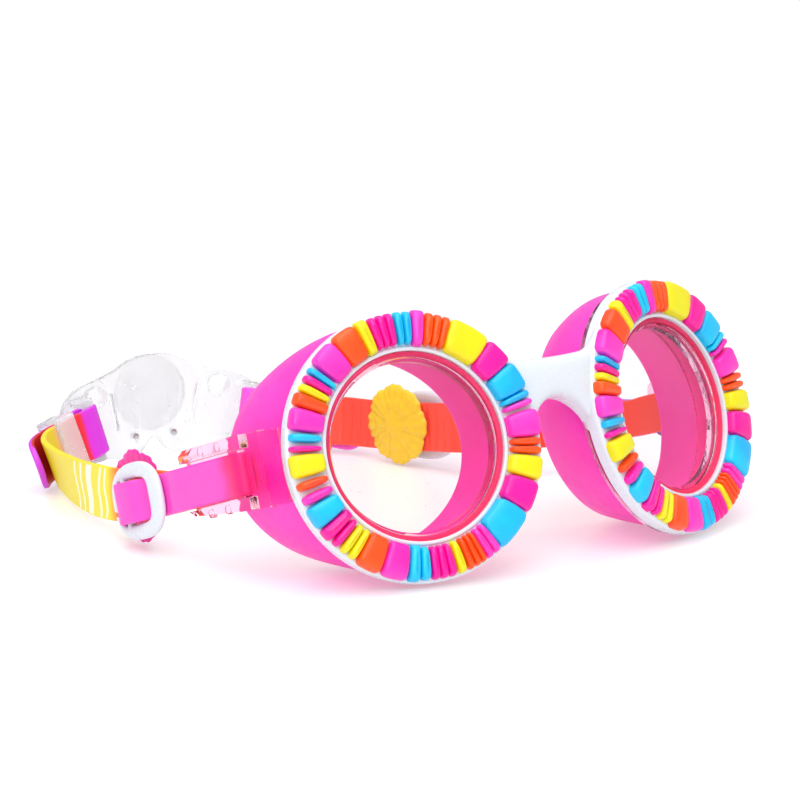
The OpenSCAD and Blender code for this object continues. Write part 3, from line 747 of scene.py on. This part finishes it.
def band_section(half):
    """Points round a band's section as (across, through, on a flat face), with spare ones on both faces."""
    thick, r = STRAP_T / 2, min(BAND_CORNER, half * 0.8)
    flat = 0.86 * (half - r)
    points = []
    for cx, cn, base in ((1, 1, 0), (-1, 1, 90), (-1, -1, 180), (1, -1, 270)):
        for degrees in (0, 22.5, 45, 67.5, 90):
            a = math.radians(base + degrees)
            through = cn * (thick - BAND_CORNER) + BAND_CORNER * math.sin(a)
            points.append((cx * (half - r) + r * math.cos(a), through, False))
        if cx * cn > 0:
            points += [(cx * flat, cn * thick, True), (-cx * flat, cn * thick, True)]
    return points


def rib_dip(run, start, stop, pitch, depth):
    """How far a ribbed face dips at this run: cross ribs from start to stop, fading in at both ends."""
    if not start <= run <= stop:
        return 0.0
    groove = max(0.0, math.cos(2 * math.pi * (run - start) / pitch)) ** 2
    return depth * groove * min(1, (run - start) / RIB_FADE, (stop - run) / RIB_FADE)


def strap(name, side, material, ribs, rib_face):
    """The strap as one ribbon with soft edges and a rounded tip, with its run, across and face as attributes.
    ribs is (from, to, pitch, depth) along the run; rib_face is the face they are on, 1 or -1."""
    rows, fold = route(side)
    fine, marks = centripetal(rows)
    fine[:, 3:] = blurred(fine[:, 3:], 8)
    fine[1:-1, :3] = blurred(fine[:, :3], 1.6)[1:-1]
    steps = np.concatenate([[0], np.cumsum(np.linalg.norm(np.diff(fine[:, :3], axis=0), axis=1))])
    slot_at, end = steps[marks[fold]], steps[-1]
    spots = np.concatenate([np.arange(0, end - TIP, BAND_STEP), end - TIP * np.linspace(1, 0, 22) ** 1.6])
    track = np.array([[np.interp(s, steps, column) for column in fine.T] for s in spots])
    along = np.gradient(track[:, :3], axis=0)
    rings, run, across, face = [], [], [], []
    for centre, direction, spot in zip(track, along, spots):
        forward = unit(direction)
        up = np.array([centre[3], centre[4], 1.0])
        up = unit(up - forward * up.dot(forward))
        out = np.cross(up, forward)
        half, left = centre[5] / 2, end - spot
        if left < TIP:
            half *= math.sqrt(max(0.0, 1 - ((TIP - left) / TIP) ** 2)) * 0.97 + 0.03
        dip = rib_dip(spot - slot_at, *ribs)
        ring = []
        for w, t, flat in band_section(half):
            dipped = dip * rib_face if flat and rib_face * t > 0 else 0
            ring.append(tuple(centre[:3] + up * w + out * (t - dipped)))
            run.append(spot - slot_at)
            across.append(w / (STRAP_W / 2))
            face.append(t / (STRAP_T / 2))
        rings.append(ring)
    piece = make(name, *loft(rings), PLACED, material, sharp=60)
    for key, values in (("run", run), ("across", across), ("face", face)):
        piece.data.attributes.new(key, "FLOAT", "POINT").data.foreach_set("value", values)
    return piece


LEFT_BAND = strap_material(
    "left_band",
    # The deep pink-red from run -3.5 to 4 is painted shade where the strap goes into the ear's slot.
    [(-60, (255, 80, 204)), (-8, (255, 74, 200)), (-3.5, (254, 10, 120)), (4, (254, 10, 120)),
     (22, (255, 96, 30)), (49, (255, 118, 16)), (52.5, (241, 228, 2)), (104, (238, 216, 2)),
     # The red from run 112 to 114.5 is painted shade between the clear keeper and the purple part of the
     # strap.
     (106.5, (252, 180, 160)), (110.5, (252, 150, 150)), (112, (246, 44, 48)), (114.5, (240, 40, 60)),
     (115.5, (222, 46, 228)), (160, (206, 62, 226))],
    lines=[(54.4, 0.8, 0.4), (57.3, 1.0, 1.0), (63.6, 3.4, 0.2), (69, 1.0, 0.5), (73, 0.9, 0.0)],
    # The crimson on one face of the tail is partly the tail tip's own red and partly painted shade where that
    # face turns to the yellow strap.
    red_tip_and_shade=(138, 152.5, (202, 20, 28)))
RIGHT_BAND = strap_material(
    "right_band",
    [(-60, (176, 84, 236)), (-6, (176, 84, 236)), (6, (250, 60, 120)), (14, (255, 66, 40)),
     (108, (255, 70, 44)), (114, (255, 70, 150)), (120, (250, 84, 214)), (150, (248, 90, 220))])

for (name, side), band_material, ribs, rib_face in (
        (SIDES[0], LEFT_BAND, (117.5, 127, 3.1, 0.3), -1),
        (SIDES[1], RIGHT_BAND, (30, 104, 2.7, 0.36), 1)):
    piece = strap(f"{name}_band", side, band_material, ribs, rib_face)
    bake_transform(piece)
    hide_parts(f"{name}_strap_anchor", f"{name}_strap_end", f"{name}_strap")


# ---- strap slides -----------------------------------------------------------


RING_X, RING_HALF_T, RING_SOFT = 3.0, 0.85, 0.75
RING_SPLIT = (math.radians(-4), math.radians(348))
RING_BAR_Y, RING_BAR_HALF = (3.6, 5.0), 5.2


def soft_loop(outline, start, stop, steps=97):
    """Flat band with soft edges; outline gives its outer and inner point at an angle or height."""
    around = 20
    rings = []
    for at in np.linspace(start, stop, steps):
        outer, inner = outline(at)
        mid, half = (outer + inner) / 2, (outer - inner) / 2
        ring = []
        for k in range(around):
            t = 2 * math.pi * k / around
            p = mid + half * power(math.cos(t), RING_SOFT)
            ring.append((RING_X + RING_HALF_T * power(math.sin(t), RING_SOFT), p[0], p[1]))
        rings.append(ring)
    return loft(rings)


def split_ring():
    """Rounded flat ring with a narrow split, and the bar across it that the strap folds round."""
    def ring_at(a):
        c, s = math.cos(a), math.sin(a)
        outer = np.array([9 * power(c, 0.8), 7.8 * power(s, 0.8)])
        window = np.array([1.45 + 5.85 * power(c, 0.42), 4.6 * power(s, 0.42)])
        return outer, window

    def bar_at_height(z):
        return np.array([RING_BAR_Y[1], z]), np.array([RING_BAR_Y[0], z])

    bar = soft_loop(bar_at_height, -RING_BAR_HALF, RING_BAR_HALF, 13)
    return joined([soft_loop(ring_at, *RING_SPLIT), bar])


PETALS = 4
FLOWERS = {"left": (1.045, FLOWER_PINK, "pink_silicone"), "right": (1.0, FLOWER_YELLOW, "yellow_silicone")}


def soft_step(distance):
    """0 well past an edge and 1 well inside it."""
    return 1 / (1 + math.exp(np.clip(distance * 5, -30, 30)))


def lobe(angle):
    return abs(math.cos(PETALS * angle)) ** 0.6


def blossom(scale):
    """Ruffled petals under a smaller second layer and a domed middle, each with a raised vein."""
    around, steps = 160, 26
    top, bottom = [], []
    for i in range(steps):
        f = (i + 1) / steps
        thin = (1 - f ** 8) ** 0.5
        upper, lower = [], []
        for j in range(around):
            a = 2 * math.pi * j / around
            ripple = math.sin(24 * a)
            r = (8.45 + 0.72 * lobe(a) + 0.12 * ripple) * f * scale
            second_edge = 5.3 + 0.7 * abs(math.cos(PETALS * a + math.pi / 2)) ** 0.6
            ruffle = 0.22 * ripple * f ** 3
            crease = -0.3 * math.exp(-(math.cos(PETALS * a) / 0.22) ** 2) * min(1, f * 1.5) * (f < 0.97)
            vein = 0.22 * math.exp(-(math.sin(PETALS * a) / 0.3) ** 2) * (0.25 < f < 0.9)
            dome = soft_step(r - 2.9) * (1 - (r / 3.6) ** 2 * (r < 3.6))
            z = 0.35 + (1.0 + ruffle + crease + vein) * thin + 0.55 * soft_step(r - second_edge) + 0.6 * dome
            upper.append((r * math.cos(a), r * math.sin(a), z))
            lower.append((r * math.cos(a), r * math.sin(a), 0.35 + (0.5 * ruffle - 0.3) * thin))
        top.append(upper)
        bottom.append(lower)
    return loft(bottom + top[::-1][1:])


for name, side in SIDES:
    hoop = make(f"{name}_slide_ring", *split_ring(), at_charm(side), WHITE, sharp=50)
    settle(hoop, "strap_loop", f"{name}_ring")
    along, above = LEFT_FLOWER_AT if side < 0 else RIGHT_FLOWER_AT
    place = at_charm(side) @ shift(-0.9, along, above) @ turn("Y", -90)
    scale, material, slot = FLOWERS[name]
    petals = make(f"{name}_blossom", *blossom(scale), place, material, sharp=70)
    settle(petals, "strap_loop", f"{name}_flower")


# ---- clear hardware ---------------------------------------------------------

for name, _ in SIDES:
    sleeve = soft_copy(f"{name}_keeper_sleeve", f"{name}_keeper", 0.3, CLEAR)
    settle(sleeve, f"{name}_keeper", f"{name}_keeper")
    button = soft_copy(f"{name}_release_button", f"{name}_release", 0.25, FROSTED)
    settle(button, f"{name}_release", f"{name}_release")
for name, node, radius, material, slot in (
        ("adjuster_body", "adjuster_shell", 0.28, CLEAR, "clear_plastic"),
        ("adjuster_boss", "adjuster_badge", 0.3, FROSTED, "clear_plastic"),
        ("strap_bar_pins", "strap_bars", 0.2, CLEAR, "clear_plastic"),
        ("adjuster_pins", "adjuster_rivets", 0.15, STEEL, "steel")):
    settle(soft_copy(name, node, radius, material), "strap_loop", node)


# ---- stage, light and camera ------------------------------------------------


def lamp(name, at, aim, size, power_w):
    data = bpy.data.lights.new(name, "AREA")
    data.size, data.energy = size, power_w
    obj = shown(name, data)
    obj.location = at
    obj.rotation_euler = (Vector(aim) - Vector(at)).to_track_quat("-Z", "Y").to_euler()


FLOOR_HALF = 6
mesh = bpy.data.meshes.new("floor")
corners = [(x * FLOOR_HALF, y * FLOOR_HALF, 0) for x, y in ((-1, -1), (1, -1), (1, 1), (-1, 1))]
mesh.from_pydata(corners, [], [(0, 1, 2, 3)])
mesh.materials.append(moulded("pale_floor", (250, 250, 250), rough=0.3, spread=0.03, vary=0.01, grain=0.0,
                              gain=0.8, Emission_Color=(1, 1, 1, 1), Emission_Strength=0.3))
floor = shown("floor", mesh)

world = bpy.data.worlds.new("studio")
bpy.context.scene.world = world
world.use_nodes = True
backdrop = world.node_tree.nodes["Background"]
backdrop.inputs["Color"].default_value = (1, 1, 1, 1)
backdrop.inputs["Strength"].default_value = 0.6
lamp("top", (-0.15, -0.1, 0.9), (0, 0, 0), 0.8, 3)
sun = shown("sky", bpy.data.lights.new("sky", "SUN"))
sun.data.energy, sun.data.angle = 1.3, math.radians(80)
sun.rotation_euler = (math.radians(12), math.radians(-14), 0)
lamp("front", (-0.7, -0.7, 0.6), (0, -0.03, 0.02), 0.5, 2.6)
bpy.context.scene.view_settings.view_transform = "Standard"

camera = bpy.data.cameras.new("camera")
camera.lens, camera.sensor_width = 138.8, 36
camera.clip_start, camera.clip_end = 0.01, 50
viewer = shown("camera", camera)
viewer.location = (-0.39142, -0.52261, 0.14895)
looked_at = Vector((-0.03622, -0.06086, 0.03529))
viewer.rotation_euler = (looked_at - viewer.location).to_track_quat("-Z", "Y").to_euler()
bpy.context.scene.camera = viewer
